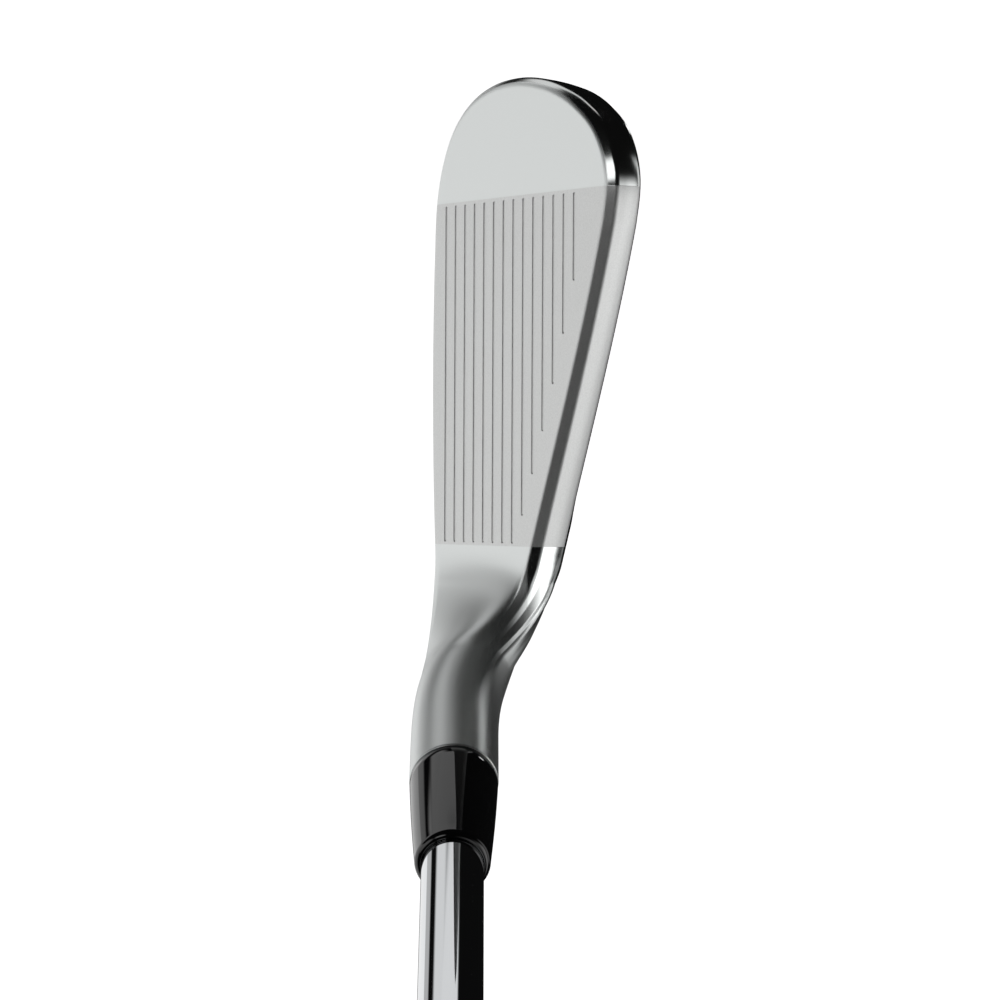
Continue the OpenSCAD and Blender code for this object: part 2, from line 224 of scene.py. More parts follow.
def half_section(edge, corners, rear):
    """Half of the blade's outline, as (distance from the spine, depth): evenly across the flat
    face, over the rounded corners, and back across the rear to the spine."""
    c = np.stack([edge - corners[:, 0], corners[:, 1]], axis=1)
    start, end = np.array([0.0, 0.0]), np.array([0.0, rear])
    path = [start, *c, end]
    arcs = [rounded(path[j], path[j + 1], path[j + 2], corners[j, 2]) for j in range(len(c))]
    flat = arcs[0][0] * (np.arange(FACE_CUTS) / FACE_CUTS)[:, None]
    tail = arcs[-1][-1] + (end - arcs[-1][-1]) * TAIL[:, None]
    return np.vstack([flat] + arcs + [tail])


def blade_half(x, up):
    """Half section of the blade at x, over the topline where up is 1 or the sole where it is -1.
    Its corners are the blade's, eased into the heel's."""
    t = spine(x)
    edge = top_edge(x) - t if up > 0 else t - low_edge(x)
    blade, heel = (TOP_CORNERS, HEEL_TOP) if up > 0 else (SOLE_CORNERS, HEEL_SOLE)
    k = ease((x - HEEL_BLEND[0]) / HEEL_BLEND[1])
    reach, depth = half_section(edge, mix(blade, heel, k), mix(PLATE, REAR_AT_HEEL, k)).T
    return face_point(x, t + up * reach, depth)


def toe_half(a):
    """Half section turned by a degrees about the toe's pivot, from up the face to down it. Its
    corners are the topline's, eased into the toe's by 90 degrees and the sole's by 155."""
    if a < 90:
        corners = mix(TOP_CORNERS, TOE_CORNERS, ease(a / 90))
    else:
        corners = mix(TOE_CORNERS, SOLE_CORNERS, ease((a - 90) / 65))
    reach, depth = half_section(spline(TOE_RADII, a / 15), corners, PLATE).T
    turn = math.radians(a)
    return face_point(PIVOT_X - reach * math.sin(turn), spine(PIVOT_X) + reach * math.cos(turn), depth)


# ---- the neck and hosel ---------------------------------------------------

HOSEL_R, HOSEL_END = 6.705, 64.37
HOSEL_ROUNDING = 0.3
BORE_R, BORE_DEPTH, BORE_CONE = 4.65, 33, 2.6
FAN_Z = 39.0        # height of the point that the neck's sections fan about
FAN_R = 11.0        # radius of the fillet between the topline and the neck
FAN_SPAN = 19.3     # length along the neck that the fan counts for
CROTCH_X = 30.0     # the fillet takes over from the topline here
NECK_END = 52.0     # distance along the shaft of the last of the neck's evenly spaced rings
LOW_SOFTNESS = 20   # how widely the heel's underside rounds into the hosel's

# Each blend's start and length along the neck, with its lead: the front's, the rear's, and the
# change from the blade's own heights to heights round a circle
FRONT_BLEND, REAR_BLEND, HEIGHT_BLEND = (28, 48.6, 0.87), (30.5, 39, 0.43), (28, 21.5)
FRONT_SHARPNESS = 2.5   # how quickly the front's blend gives way to the rear's round the neck


def goals(middle, face, marks):
    """Angles round the hosel that the points of a half section go to: even steps across the flat
    face, then from one mark to the next for each corner's arc, then on to straight behind."""
    parts = [np.linspace(middle, face, FACE_CUTS, endpoint=False)]
    parts += [np.linspace(a, b, ARC + 2) for a, b in marks]
    last = marks[-1][1]
    return np.radians(np.concatenate(parts + [last + (180 - last) * TAIL]))


UP_ANGLES = goals(36, 98, [(98, 103), (105, 110), (114, 124), (130, 139), (143, 151), (154, 164)])
LOW_ANGLES = goals(-36, 14, [(14, 28), (32, 52), (66, 100), (108, 131), (135, 147), (150, 162)])

FAN_BASE = (HEEL_X - GROUND_POINT[0]) * AXIS[0] + FAN_Z * AXIS[2]
FAN_TO_AXIS = math.hypot(HEEL_X - GROUND_POINT[0] - FAN_BASE * AXIS[0], FAN_Z - FAN_BASE * AXIS[2])


def neck_loop(x, fan, s):
    """Both halves of a section of the heel, neck or hosel. Each point's reach from the fan's
    centre is a share of the way from the underside to the crotch, and its Y is the blade's own
    drawn towards the hosel's circle. fan turns the section's plane about the fan's centre, and s
    moves it up the shaft axis."""
    halves = {1: blade_half(x, 1), -1: blade_half(x, -1)}
    z_high, z_low = halves[1][:, 2].max(), halves[-1][:, 2].min()
    run = HEEL_X - x
    low = soft_min((FAN_Z - z_low) / math.cos(fan),
                   (FAN_TO_AXIS + HOSEL_R + run * AXIS[2]) / math.cos(LIE - fan), LOW_SOFTNESS)
    fillet = math.sqrt(FAN_R ** 2 - run ** 2) if run < FAN_R else 0.0
    high = FAN_Z - z_high if x < CROTCH_X else mix(fillet, FAN_TO_AXIS - HOSEL_R, ease(fan / LIE))
    path = x + FAN_SPAN * fan / LIE + s
    front_share = lead((path - FRONT_BLEND[0]) / FRONT_BLEND[1], FRONT_BLEND[2])
    rear_share = lead((path - REAR_BLEND[0]) / REAR_BLEND[1], REAR_BLEND[2])
    round_share = ease((path - HEIGHT_BLEND[0]) / HEIGHT_BLEND[1])
    out = []
    for up, angles in ((1, UP_ANGLES), (-1, LOW_ANGLES)):
        q = halves[up]
        share = mix((q[:, 2] - z_low) / (z_high - z_low), 0.5 + 0.5 * up * np.sin(angles), round_share)
        reach = mix(low, high, share)
        k = mix(rear_share, front_share, (0.5 + 0.5 * np.cos(angles)) ** FRONT_SHARPNESS)
        y = mix(q[:, 1], GROUND_POINT[1] - HOSEL_R * np.cos(angles), k)
        out.append(np.stack([x + reach * math.sin(fan) + s * AXIS[0], y,
                             FAN_Z - reach * math.cos(fan) + s * AXIS[2]], axis=1))
    return out


def neck_rings():
    """Closed sections from the end of the flat face: along the heel, round the fan, and up the
    hosel to where its rim starts to round."""
    stations = [(x, 0.0, 0.0) for x in np.linspace(FACE_END_X, HEEL_X, 15)]
    stations += [(HEEL_X, LIE * i / 60, 0.0) for i in range(1, 61)]
    stations += [(HEEL_X, LIE, (NECK_END - FAN_BASE) * i / 14) for i in range(1, 15)]
    rim = HOSEL_END - HOSEL_ROUNDING
    stations += [(HEEL_X, LIE, s - FAN_BASE) for s in (58.0, rim - 0.05, rim)]
    rings = []
    for station in stations:
        up, low = neck_loop(*station)
        rings.append(np.vstack([up, low[-2:0:-1]]))
    return np.array(rings)


def rim_and_bore(ring):
    """The hosel's last ring carried over a rounded rim, in, and down the bore to its cone: each
    is (radius, distance) along the ring's own spokes."""
    outer = ring - GROUND_POINT
    spoke = outer - (outer @ AXIS)[:, None] * AXIS
    spoke /= np.linalg.norm(spoke, axis=1)[:, None]
    turn = np.radians([30, 60, 90])
    path = [(HOSEL_R - HOSEL_ROUNDING * (1 - math.cos(a)),
             HOSEL_END - HOSEL_ROUNDING + HOSEL_ROUNDING * math.sin(a)) for a in turn]
    path += [(BORE_R + 0.1, HOSEL_END), (BORE_R, HOSEL_END - 0.1), (BORE_R, HOSEL_END - BORE_DEPTH),
             (0.0, HOSEL_END - BORE_DEPTH - BORE_CONE)]
    radius, distance = np.array(path).T[:, :, None, None]
    return np.concatenate([ring[None], GROUND_POINT + distance * AXIS + radius * spoke])


# ---- the scorelines and the face ------------------------------------------

LINE_HALF_LENGTH = 27.28
FULL_LINES = 8
SHORT_LINE_ENDS = [22.84, 16.29, 9.55, 2.24, -5.46, -13.6]  # heel ends of the lines above the full ones
GROOVE_HALF, GROOVE_DEPTH = 0.34, 0.17
END_CUTS, RUN_CUTS = 13, 10     # points round each end of a scoreline, and along each side
# Share of the half width, and of the depth, from the middle of a scoreline out to its flat rim
GROOVE_LEVELS = np.array([[0, 1], [0.3, 1], [0.5, 0.96], [0.64, 0.82], [0.76, 0.55], [0.86, 0.26],
                          [0.94, 0.07], [1.0, 0.0], [1.25, 0.0]])


def groove_ends():
    """Each scoreline's height up the face and its toe and heel ends."""
    heel_ends = [LINE_HALF_LENGTH] * FULL_LINES + SHORT_LINE_ENDS
    return [(k * LINE_PITCH, -LINE_HALF_LENGTH, end) for k, end in enumerate(heel_ends)]


def groove_grid(t0, x0, x1):
    """A milled scoreline as a grid of level x loop: each level is a stadium with half-round ends,
    its half width and its depth below the face read from GROOVE_LEVELS."""
    turn = np.linspace(-90, 90, END_CUTS)
    run = np.linspace(0, 1, RUN_CUTS + 2)[1:-1]
    a = np.radians(np.concatenate([turn, np.full(RUN_CUTS, 90), turn + 180, np.full(RUN_CUTS, 270)]))
    low, high = x0 + GROOVE_HALF, x1 - GROOVE_HALF
    middle = np.concatenate([np.full(END_CUTS, high), mix(high, low, run),
                             np.full(END_CUTS, low), mix(low, high, run)])
    w, d = GROOVE_LEVELS[:, :1] * GROOVE_HALF, GROOVE_LEVELS[:, 1:] * GROOVE_DEPTH
    return face_point(middle + w * np.cos(a), t0 + w * np.sin(a), d + 0 * a)


def face_patch(loops):
    """The flat face between its outline, which is the first loop, and the scorelines' rims:
    triangles whose edges keep to every loop, less those inside a scoreline."""
    points, edges = [], []
    for loop in loops:
        base, n = len(points), len(loop)
        q = loop - FACE_ORIGIN
        points += [Vector(v) for v in np.stack([q @ ALONG, q @ UP_FACE], axis=1).tolist()]
        edges += [(base + i, base + (i + 1) % n) for i in range(n)]
    co, _, tris, _, _, _ = delaunay_2d_cdt(points, edges, [], 1, 1e-6)
    co, tris = np.array(co), np.array(tris)
    middle = co[tris].mean(axis=1)
    keep = np.ones(len(tris), bool)
    rim = GROOVE_LEVELS[-1, 0] * GROOVE_HALF
    for t0, x0, x1 in groove_ends():
        past = middle[:, 0] - np.clip(middle[:, 0], x0 + GROOVE_HALF, x1 - GROOVE_HALF)
        keep &= np.hypot(past, middle[:, 1] - t0) > rim
    return face_point(co[:, 0], co[:, 1], 0.0), tris[keep]


def build_head():
    """The blade, heel, neck and hosel as one closed surface: rings up the neck, the rim and the
    bore, a band of half sections round the blade, the scorelines, and the flat face."""
    verts, faces = [], []

    def add_grid(grid, closed=False):
        faces.extend(grid_faces(grid.shape[0], grid.shape[1], sum(map(len, verts)), closed))
        verts.append(grid.reshape(-1, 3))

    rings = neck_rings()
    add_grid(rings, closed=True)
    add_grid(rim_and_bore(rings[-1]), closed=True)

    xs = np.concatenate([np.linspace(FACE_END_X, 25, 7), np.linspace(25, 19, 25)[1:],
                         np.linspace(19, PIVOT_X, 42)[1:]])
    halves = [blade_half(x, 1) for x in xs]
    halves += [toe_half(a) for a in np.linspace(0, 180, 121)[1:-1]]
    halves += [blade_half(x, -1) for x in xs[::-1]]
    band = np.array(halves)[:, FACE_CUTS:]
    add_grid(band)

    up, low = neck_loop(FACE_END_X, 0, 0)
    loops = [np.vstack([band[:, 0], low[FACE_CUTS - 1:0:-1], up[:FACE_CUTS]])]
    for ends in groove_ends():
        groove = groove_grid(*ends)
        add_grid(groove, closed=True)
        loops.append(groove[-1])
    points, tris = face_patch(loops)
    faces.extend((sum(map(len, verts)) + tris).tolist())
    verts.append(points)
    return make_mesh("head_body", np.vstack(verts), faces, "clubhead")


head = build_head()

# ---- ferrule, shaft, grip and cap -----------------------------------------

GAP = 0.01          # glue line between the shaft and what slides over it
TIP_R, BUTT_R, SHAFT_WALL = 4.55, 7.62, 0.4
BORE_FLOOR = HOSEL_END - BORE_DEPTH
FIRST_STEP, STEP_PITCH, STEPS = BORE_FLOOR + 229, 38.0, 13
STEP_DROP = (BUTT_R - TIP_R) / STEPS
STEP_RUN = 1.5      # length of one step's slope
CLUB_LENGTH = 940.0
BUTT_END = CLUB_LENGTH - 3.5
GRIP_MOUTH, GRIP_END = CLUB_LENGTH - 267, CLUB_LENGTH - 9
FERRULE_END, FERRULE_R, FERRULE_ROUNDING = 86.8, 5.56, 1.1
BAND_START, BAND_END = FIRST_STEP + 307, FIRST_STEP + 339
LIP_R, LIP_LENGTH = 9.0, 5
CAP_R, CAP_ROUNDING = 13.4, 2.6


def shaft_radius(s):
    """Outside radius of the shaft: the tip's, plus an eased rise at each step."""
    steps = FIRST_STEP + STEP_PITCH * np.arange(STEPS)
    rise_here = ease((np.asarray(s, float)[..., None] - steps) / STEP_RUN + 0.5)
    return TIP_R + STEP_DROP * rise_here.sum(axis=-1)


def build_shaft():
    """The shaft's outside with its steps, and its bore back down to the tip."""
    s = [BORE_FLOOR + 0.8, BORE_FLOOR + 1.2, 60, 90, 140, 200]
    for k in range(STEPS):
        c = FIRST_STEP + k * STEP_PITCH
        s += [c - STEP_PITCH / 2, c - 0.9, *(c + STEP_RUN * np.linspace(-0.5, 0.5, 7)), c + 0.9]
    s += [BUTT_END - 60, BUTT_END - 0.6]
    prof = [(TIP_R - SHAFT_WALL, BORE_FLOOR + 0.3), *zip(shaft_radius(s).tolist(), s)]
    prof += [(BUTT_R - 0.1, BUTT_END), (BUTT_R - SHAFT_WALL, BUTT_END),
             (BUTT_R - SHAFT_WALL, FIRST_STEP + STEPS * STEP_PITCH),
             (3.95, FIRST_STEP), (3.95, BORE_FLOOR + 0.3)]
    return revolve("shaft_tube", prof, "shaft", 160)


def build_ferrule():
    """Tapered collar: a tiny bevel at the hosel, a side that bows out by 0.1 mm along half a sine
    wave, and a quarter-round end at the shaft."""
    prof = [(TIP_R + GAP, HOSEL_END), (HOSEL_R - 0.2, HOSEL_END), (HOSEL_R - 0.06, HOSEL_END + 0.12)]
    top = FERRULE_END - FERRULE_ROUNDING
    u = np.linspace(0, 1, 14)[1:]
    prof += zip(mix(HOSEL_R - 0.05, FERRULE_R, u) + 0.1 * np.sin(math.pi * u), mix(HOSEL_END + 0.2, top, u))
    a = np.radians(np.linspace(8, 90, 10))
    prof += zip(FERRULE_R - 0.82 * (1 - np.cos(a)), top + FERRULE_ROUNDING * np.sin(a))
    prof.append((TIP_R + GAP, FERRULE_END - 0.15))
    return revolve("ferrule_body", prof, "ferrule", 160)


# Zones of moulded pattern on the grip, as shares of its length
GRIP_ZONES = [(0.16, 0.38), (0.46, 0.68), (0.76, 0.93)]
RING_DEPTH, DIMPLE_DEPTH = 0.45, 0.3
ROWS_PER_ZONE, DIMPLES_PER_ROW = 8, 16


def grip_radius(s):
    """Outside radius of the grip: a gentle swell from the mouth to the butt."""
    u = np.clip((s - GRIP_MOUTH - LIP_LENGTH) / (GRIP_END - GRIP_MOUTH - LIP_LENGTH), 0, 1)
    return mix(8.7, 13.2, 0.85 * u + 0.15 * u * u)


def grip_pattern(s, angle):
    """How far the moulded pattern lies below the grip's swell: in each zone, ring grooves between
    rows, and in each row a ring of shallow round dimples, set half a dimple on in every second
    row. The deeper of the two counts, and each zone fades in and out at its ends."""
    u = (s - GRIP_MOUTH) / (GRIP_END - GRIP_MOUTH)
    out = np.zeros_like(s)
    for low, high in GRIP_ZONES:
        inside = ease((u - low) * 90) * ease((high - u) * 90)
        turn = (u - low) / (high - low) * ROWS_PER_ZONE
        ring = ease(1 - np.abs(turn - np.round(turn)) / 0.1)
        odd = np.floor(turn) % 2
        along = np.abs(turn - np.floor(turn) - 0.5) / 0.3
        around = np.abs((angle / (2 * math.pi) * DIMPLES_PER_ROW + odd * 0.5) % 1 - 0.5) / 0.36
        dimple = ease(1.6 - 1.6 * np.sqrt(along ** 2 + around ** 2))
        out += inside * np.maximum(RING_DEPTH * ring, DIMPLE_DEPTH * dimple)
    return out


def build_grip():
    """The rubber sleeve: its lip at the mouth, its patterned swell and its bore."""
    prof = [(BUTT_R + 0.05, GRIP_MOUTH), (LIP_R - 0.4, GRIP_MOUTH), (LIP_R - 0.1, GRIP_MOUTH + 0.12),
            (LIP_R, GRIP_MOUTH + 0.4), (LIP_R, GRIP_MOUTH + 4.2), (LIP_R - 0.1, GRIP_MOUTH + 4.7),
            (8.72, GRIP_MOUTH + LIP_LENGTH)]
    rows = np.linspace(GRIP_MOUTH + 5.6, GRIP_END - 1, 440)
    prof += zip(grip_radius(rows).tolist(), rows.tolist())
    prof += [(CAP_R - 0.1, GRIP_END - 0.3), (CAP_R - 0.25, GRIP_END),
             (BUTT_R + 0.17, GRIP_END), (BUTT_R + 0.17, GRIP_MOUTH + 1)]
    return revolve("grip_body", prof, "grip_sleeve", 176, grip_pattern)


def build_cap():
    """The grip's butt cap: a quarter-round rim, a shallow ring in its end and the vent hole."""
    prof = [(BUTT_R + 0.3, GRIP_END), (CAP_R - 0.2, GRIP_END), (CAP_R, GRIP_END + 0.25)]
    a = np.radians(np.linspace(0, 90, 12))
    prof += zip(CAP_R - CAP_ROUNDING * (1 - np.cos(a)), CLUB_LENGTH - CAP_ROUNDING * (1 - np.sin(a)))
    prof += [(9.6, CLUB_LENGTH), (9.3, CLUB_LENGTH - 0.25), (8.7, CLUB_LENGTH - 0.25), (8.4, CLUB_LENGTH)]
    prof += [(VENT_R + 0.3, CLUB_LENGTH), (VENT_R, CLUB_LENGTH - 0.3),
             (VENT_R, BUTT_END), (BUTT_R + 0.3, BUTT_END)]
    return revolve("grip_cap_body", prof, "grip_cap", 144)


shaft = build_shaft()
ferrule = build_ferrule()
grip = build_grip()
cap = build_cap()

# ---- materials ------------------------------------------------------------


def srgb(code):
    """Linear RGBA of a '#rrggbb' colour."""
    out = []
    for i in (1, 3, 5):
        v = int(code[i:i + 2], 16) / 255
        out.append(v / 12.92 if v <= 0.04045 else ((v + 0.055) / 1.055) ** 2.4)
    return (*out, 1.0)


def cells(size_mm):
    """Texture scale whose cells have a real size: how many of them fit in a metre."""
    return 1000.0 / size_mm


def add(tree, kind, inputs=(), output=0, **settings):
    """Adds a shader node with its settings, sets or links its inputs, given by name or in order,
    and returns one of its outputs."""
    node = tree.nodes.new("ShaderNode" + kind)
    for key, value in settings.items():
        setattr(node, key, value)
    put(tree, node, inputs if isinstance(inputs, dict) else dict(enumerate(inputs)))
    return node.outputs[output]


def put(tree, node, values):
    """Links a node's input where the value is a socket, and sets it where it isn't."""
    for key, value in values.items():
        if isinstance(value, bpy.types.NodeSocket):
            tree.links.new(value, node.inputs[key])
        else:
            node.inputs[key].default_value = value


def material(name):
    """A new material, with its node tree, its shader and the place on the piece."""
    mat = bpy.data.materials.new(name)
    mat.use_nodes = True
    tree = mat.node_tree
    return mat, tree, tree.nodes["Principled BSDF"], add(tree, "TexCoord", output="Object")


def distance_along(tree, place, direction, start):
    """Distance in mm along a direction from a starting value: the dot product, less the start."""
    dot = add(tree, "VectorMath", (place, tuple(direction)), "Value", operation="DOT_PRODUCT")
    return add(tree, "Math", (dot, 1000.0, -float(start)), operation="MULTIPLY_ADD")


BLASTED_HALF = 27.75    # the blasted area's half length along the scorelines
BLASTED_DEPTH = 5.7     # how far over the topline the blasting goes
SATIN, POLISHED, BLASTED = 0.37, 0.15, 0.44     # roughness of the head's three finishes
POLISH_END_X = 42.0     # the polish fades into satin up to here on the neck


def head_material():
    """Chrome over forged steel in three finishes. Satin blurs reflections softly on the toe and
    neck. The edges and back are polished, with crisp light and dark bands. Blasting across the
    hitting area scatters the light into an even grey with a fine speckle. The blasted grain is
    about 0.1 mm in life and drawn at 0.24 mm, so that it shows."""
    mat, tree, shader, place = material("satin_chrome_blasted_face")
    x_mm = distance_along(tree, place, ALONG, 0.0)
    depth_mm = distance_along(tree, place, INTO_HEAD, FACE_ORIGIN @ INTO_HEAD)
    off_middle = add(tree, "Math", (x_mm,), operation="ABSOLUTE")
    across = add(tree, "MapRange", {"Value": off_middle,
                                    "From Min": BLASTED_HALF, "From Max": BLASTED_HALF - 1 / 12})
    front = add(tree, "MapRange", {"Value": depth_mm,
                                   "From Min": BLASTED_DEPTH, "From Max": BLASTED_DEPTH - 1 / 6})
    blasted = add(tree, "Math", (across, front), operation="MULTIPLY")

    grain = add(tree, "TexNoise", {"Vector": place, "Scale": cells(0.238), "Detail": 2.0, "Roughness": 0.6})
    fine = add(tree, "TexNoise", {"Vector": place, "Scale": cells(0.111), "Detail": 1.0})
    faint = add(tree, "Math", (fine, 0.05), operation="MULTIPLY")
    height = add(tree, "Math", (blasted, grain, faint), operation="MULTIPLY_ADD")
    bump = add(tree, "Bump", {"Strength": 0.3, "Distance": 0.04 * MM, "Height": height})

    speck = add(tree, "MapRange", {"Value": grain, "From Min": 0.3, "From Max": 0.7,
                                   "To Min": -0.05, "To Max": 0.05})
    tone = add(tree, "Math", (speck, blasted, 1.0), operation="MULTIPLY_ADD")
    plain = add(tree, "Mix", {"Factor": blasted, "A": srgb("#e1e4e3"), "B": srgb("#dbdcdb")}, "Result",
                data_type="RGBA")
    shade = add(tree, "HueSaturation", {"Color": plain, "Value": tone})

    behind = add(tree, "MapRange", {"Value": depth_mm, "From Min": 0.15, "From Max": 0.4})
    on_blade = add(tree, "MapRange", {"Value": x_mm, "From Min": POLISH_END_X, "From Max": POLISH_END_X - 10})
    polished = add(tree, "Math", (behind, on_blade), operation="MULTIPLY")
    bright = add(tree, "Mix", {"Factor": polished, "A": SATIN, "B": POLISHED}, "Result")
    rough = add(tree, "Mix", {"Factor": blasted, "A": bright, "B": BLASTED}, "Result")
    put(tree, shader, {"Base Color": shade, "Metallic": 1.0, "Roughness": rough, "Normal": bump})
    return mat


def ferrule_material():
    """Black cellulose acetate, turned and buffed: deep black with sharp highlights, and a faint
    unevenness of the buffing every few millimetres."""
    mat, tree, shader, place = material("polished_black_acetate")
    haze = add(tree, "TexNoise", {"Vector": place, "Scale": cells(4.55), "Detail": 3.0})
    rough = add(tree, "Math", (haze, 0.05, 0.03), operation="MULTIPLY_ADD")
    put(tree, shader, {"Base Color": srgb("#0a0a0b"), "Roughness": rough, "IOR": 1.6})
    return mat


def shaft_material():
    """Nickel-chrome plate on a drawn steel tube: a bright mirror, hazed a little in patches about
    a centimetre long."""
    mat, tree, shader, place = material("bright_chrome_plate")
    haze = add(tree, "TexNoise", {"Vector": place, "Scale": cells(11.1), "Detail": 4.0})
    rough = add(tree, "Math", (haze, 0.03, 0.03), operation="MULTIPLY_ADD")
    put(tree, shader, {"Base Color": srgb("#e2e4e6"), "Metallic": 1.0, "Roughness": rough})
    return mat


def rubber_material(name, colour, grit_mm, relief_mm):
    """Moulded rubber compound: matt black with the grit of its mould and a dusty bloom in soft
    patches. Mould grit is about 0.2 mm in life and drawn coarser, so that it shows."""
    mat, tree, shader, place = material(name)
    grit = add(tree, "TexVoronoi", {"Vector": place, "Scale": cells(grit_mm)}, "Distance")
    bloom = add(tree, "TexNoise", {"Vector": place, "Scale": cells(16.7), "Detail": 5.0})
    bump = add(tree, "Bump", {"Strength": 0.5, "Distance": relief_mm * MM, "Height": grit})
    shade = add(tree, "Mix", {"Factor": bloom, "A": srgb(colour), "B": srgb("#2a2a2c")}, "Result",
                data_type="RGBA")
    rough = add(tree, "Math", (bloom, 0.2, 0.6), operation="MULTIPLY_ADD")
    put(tree, shader, {"Base Color": shade, "Roughness": rough, "Normal": bump, "IOR": 1.52})
    return mat


def badge_material():
    """Anodised aluminium, brushed along the blade: dark grey with straight streaks. A brush mark
    is about 0.05 mm wide in life and drawn at 0.25 mm, so that it shows."""
    mat, tree, shader, place = material("anodised_brushed_aluminium")
    squeeze = add(tree, "Mapping", {"Vector": place, "Scale": (cells(16.7), cells(0.25), cells(0.25))})
    streak = add(tree, "TexNoise", {"Vector": squeeze, "Scale": 1.0, "Detail": 3.0})
    shade = add(tree, "Mix", {"Factor": streak, "A": srgb("#5a5d62"), "B": srgb("#7d8187")}, "Result",
                data_type="RGBA")
    bump = add(tree, "Bump", {"Strength": 0.2, "Distance": 0.03 * MM, "Height": streak})
    rough = add(tree, "Math", (streak, 0.2, 0.28), operation="MULTIPLY_ADD")
    put(tree, shader, {"Base Color": shade, "Metallic": 1.0, "Roughness": rough, "Normal": bump})
    return mat


def mottled_material(name, dark, light, grain_mm, rough):
    """A dull body colour broken up by grain of a real size. It gives foam its open cells, cured
    epoxy its cloudiness and crepe paper its fibres."""
    mat, tree, shader, place = material(name)
    grain = add(tree, "TexNoise", {"Vector": place, "Scale": cells(grain_mm), "Detail": 4.0})
    shade = add(tree, "Mix", {"Factor": grain, "A": srgb(dark), "B": srgb(light)}, "Result", data_type="RGBA")
    bump = add(tree, "Bump", {"Strength": 0.4, "Distance": 0.04 * MM, "Height": grain})
    put(tree, shader, {"Base Color": shade, "Roughness": rough, "Normal": bump})
    return mat


def brass_material():
    """Turned brass: warm metal with tool rings 0.4 mm apart along the shaft axis."""
    mat, tree, shader, place = material("turned_brass")
    s = distance_along(tree, place, AXIS, GROUND_POINT @ AXIS)
    turns = add(tree, "Math", (s, 2 * math.pi / 0.4), operation="MULTIPLY")
    ring = add(tree, "Math", (turns,), operation="SINE")
    rough = add(tree, "Math", (ring, 0.06, 0.3), operation="MULTIPLY_ADD")
    put(tree, shader, {"Base Color": srgb("#d9b86a"), "Metallic": 1.0, "Roughness": rough})
    return mat


def band_material():
    """Printed foil: a dark grey film with a thin silver line 2.5 mm in from each end."""
    mat, tree, shader, place = material("printed_foil_band")
    s = distance_along(tree, place, AXIS, GROUND_POINT @ AXIS)
    from_middle = add(tree, "Math", (s, (BAND_START + BAND_END) / 2), operation="SUBTRACT")
    out = add(tree, "Math", (from_middle,), operation="ABSOLUTE")
    from_line = add(tree, "Math", (out, (BAND_END - BAND_START) / 2 - 2.5), operation="SUBTRACT")
    off = add(tree, "Math", (from_line,), operation="ABSOLUTE")
    line = add(tree, "Math", (off, 0.4), operation="LESS_THAN")
    fibre = add(tree, "TexNoise", {"Vector": place, "Scale": cells(2.0)})
    shade = add(tree, "Mix", {"Factor": line, "A": srgb("#26292e"), "B": srgb("#c4c8cc")}, "Result",
                data_type="RGBA")
    rough = add(tree, "Math", (fibre, 0.1, 0.32), operation="MULTIPLY_ADD")
    put(tree, shader, {"Base Color": shade, "Roughness": rough})
    return mat


# Each made piece shares its material with the CAD node that it stands for
node_materials = {
    "clubhead": head_material(),
    "ferrule": ferrule_material(),
    "shaft": shaft_material(),
    "grip_sleeve": rubber_material("moulded_grip_rubber", "#161617", 0.5, 0.06),
    "grip_cap": rubber_material("moulded_cap_rubber", "#1c1c1e", 0.7, 0.04),
    "cavity_badge": badge_material(),
    "badge_tape": mottled_material("black_foam_tape", "#0e0e10", "#222225", 0.4, 0.9),
    "hosel_epoxy": mottled_material("cured_epoxy", "#b39a55", "#cdb878", 3.3, 0.25),
    "grip_tape": mottled_material("crepe_paper_tape", "#c9bd92", "#e2d9b8", 0.55, 0.85),
    "tip_plug": brass_material(),
    "shaft_band": band_material(),
}
for piece, name in ((head, "clubhead"), (ferrule, "ferrule"), (shaft, "shaft"), (grip, "grip_sleeve"),
                    (cap, "grip_cap")):
    piece.data.materials.append(node_materials[name])
for name, mat in node_materials.items():
    node = frame["nodes"][name]
    if node.material_slots:
        for entry in node.material_slots:
            entry.material = mat
    else:
        node.data.materials.append(mat)

# ---- floor ----------------------------------------------------------------

FLOOR_SIZE_M, FLOOR_DROP_M = 60, 0.0001

bpy.ops.mesh.primitive_plane_add(size=FLOOR_SIZE_M, location=(0, 0, -FLOOR_DROP_M))
floor = bpy.context.object
floor.name = "studio_floor"
floor.visible_glossy = False
floor_mat = bpy.data.materials.new("floor_white")
floor_mat.use_nodes = True
put(floor_mat.node_tree, floor_mat.node_tree.nodes["Principled BSDF"],
    {"Base Color": (0.8, 0.8, 0.8, 1), "Roughness": 0.9, "Emission Color": (1, 1, 1, 1),
     "Emission Strength": 0.9})
floor.data.materials.append(floor_mat)

# ---- light: glowing cards and spots far away, each in its own directions ---

world = bpy.data.worlds.new("studio")
bpy.context.scene.world = world
world.use_nodes = True
sky = world.node_tree
direction = add(sky, "TexCoord", output="Generated")
compass = add(sky, "SeparateXYZ", (direction,)).node.outputs


def spot(where, inner, outer, strength):
    """Round soft-edged light towards one direction; inner and outer are degrees from it."""
    v = np.array(where, float)
    dot = add(sky, "VectorMath", (direction, tuple(v / np.linalg.norm(v))), "Value", operation="DOT_PRODUCT")
    return add(sky, "MapRange", {"Value": dot, "From Min": math.cos(math.radians(outer)),
                                 "From Max": math.cos(math.radians(inner)), "To Max": strength},
               interpolation_type="SMOOTHSTEP")


def card(*steps, strength):
    """A card with soft edges: the product of smooth steps, each (axis, dark value, lit value)."""
    out = strength
    for axis, dark, lit in steps:
        step = add(sky, "MapRange", {"Value": compass[axis], "From Min": dark, "From Max": lit},
                   interpolation_type="SMOOTHSTEP")
        out = add(sky, "Math", (out, step), operation="MULTIPLY")
    return out


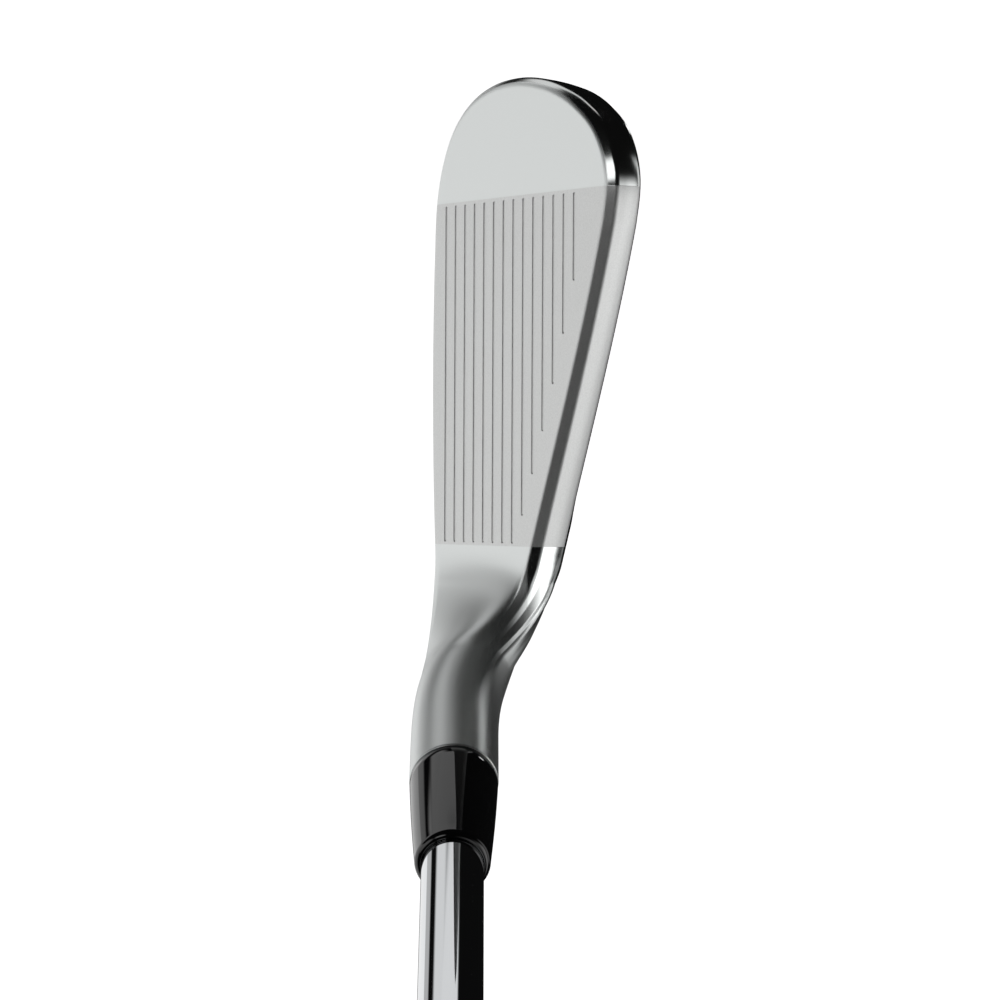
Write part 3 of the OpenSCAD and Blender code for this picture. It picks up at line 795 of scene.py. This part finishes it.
AMBIENT = 0.004
lights = [
    # Low in front, for the face and toe
    card(("X", -0.29, -0.24), ("Y", -0.1, -0.3), ("Z", 0.25, 0.0), strength=0.95),
    # A narrow strip beside it, for the heel's hollow
    card(("X", -0.9, -0.6), ("Y", -0.46, -0.58), ("Z", -0.62, -0.56), ("Z", -0.26, -0.42), strength=0.9),
    # Low on the toe's side, for the hosel, ferrule and shaft
    card(("X", -0.59, -0.67), ("Y", -0.1, -0.28), ("Z", -0.42, -0.47), strength=0.76),
    # The same, carried round towards the back
    card(("X", -0.5, -0.6), ("Y", 0.28, 0.22), ("Y", -0.62, -0.55), ("Z", -0.52, -0.49), ("Z", -0.33, -0.4),
         strength=0.8),
    # A dimmer fill lower still, for the shaft's front edge
    card(("X", -0.47, -0.41), ("Y", -0.1, -0.3), ("Z", -0.6, -0.66), strength=0.5),
    # A bright card behind, for the topline
    card(("X", -0.32, 0.12), ("Y", 0.4, 0.6), ("Z", 0.0, 0.14), ("Z", 0.85, 0.3), strength=1.7),
    # A glint on the toe's chamfer, and a soft one low behind the hosel
    spot((-0.33, -0.46, 0.82), 9, 15, 1.5),
    spot((-0.45, 0.45, -0.77), 2, 4, 5.0),
    # A softbox in front, one overhead and one behind, mostly for the sides that they face
    spot((0.0, -0.88, 0.45), 16, 26, 0.9),
    card(("X", 0.05, 0.3), ("Y", 0.0, 0.5), ("Z", 0.5, 0.8), strength=0.7),
    card(("X", 0.55, 0.4), ("Y", 0.8, 0.9), ("Z", 0.0, -0.1), strength=0.7),
]
glow = AMBIENT
for light in lights:
    glow = add(sky, "Math", (glow, light), operation="MAXIMUM")

# The backdrop that the camera sees directly is plain white
seen = add(sky, "LightPath", output="Is Camera Ray")
glow = add(sky, "Math", (glow, seen), operation="MAXIMUM")
put(sky, sky.nodes["Background"], {"Color": (1, 1, 1, 1), "Strength": glow})

# ---- camera: nearly straight above the head, toe up, with a long lens ------

CAMERA_PLACE = (17.443, -0.036, 621.809)
CAMERA_TURNS = (-0.283, -0.2725, 90.2693)   # degrees about X, Y and Z

camera_data = bpy.data.cameras.new("camera")
camera_data.sensor_width = 36
camera_data.lens = 135.93
camera = bpy.data.objects.new("camera", camera_data)
bpy.context.scene.collection.objects.link(camera)
bpy.context.scene.camera = camera
aim = Euler([math.radians(v) for v in CAMERA_TURNS]).to_matrix().to_4x4()
camera.matrix_world = Matrix.Translation(Vector(CAMERA_PLACE) * MM) @ aim
bpy.context.scene.view_settings.view_transform = "Standard"
